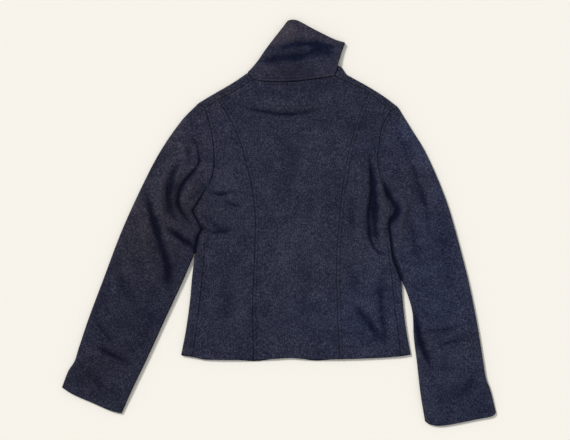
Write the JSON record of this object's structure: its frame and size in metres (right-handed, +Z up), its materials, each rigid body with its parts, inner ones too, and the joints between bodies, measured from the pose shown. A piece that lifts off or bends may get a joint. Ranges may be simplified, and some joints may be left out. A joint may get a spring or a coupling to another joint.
{
  "type": "wool jacket laid flat",
  "caption": "Cropped wool jacket laid flat on its fronts, back up, collar turned up, sleeves spread; princess seams on the back.",
  "frame": {"origin": "on the floor under the middle of the laid garment's outline", "axes": "+Z up from the floor, +Y from the hem to the collar, +X towards the wearer's right; the back faces up"},
  "size_m": [0.8896, 0.832, 0.0134],
  "materials": {
    "wool": "matt fulled wool melton, dark navy with a charcoal heather",
    "collar_wool": "the same melton, a little warmer where the light strikes the turned-up collar"
  },
  "bodies": {
    "root": {"back_centre": "wool", "back_side_left": "wool", "back_side_right": "wool", "front_left": "wool", "front_right": "wool", "sleeve_left_back": "wool", "sleeve_left_front": "wool", "sleeve_right_back": "wool", "sleeve_right_front": "wool", "collar": "collar_wool"}
  },
  "joints": []
}
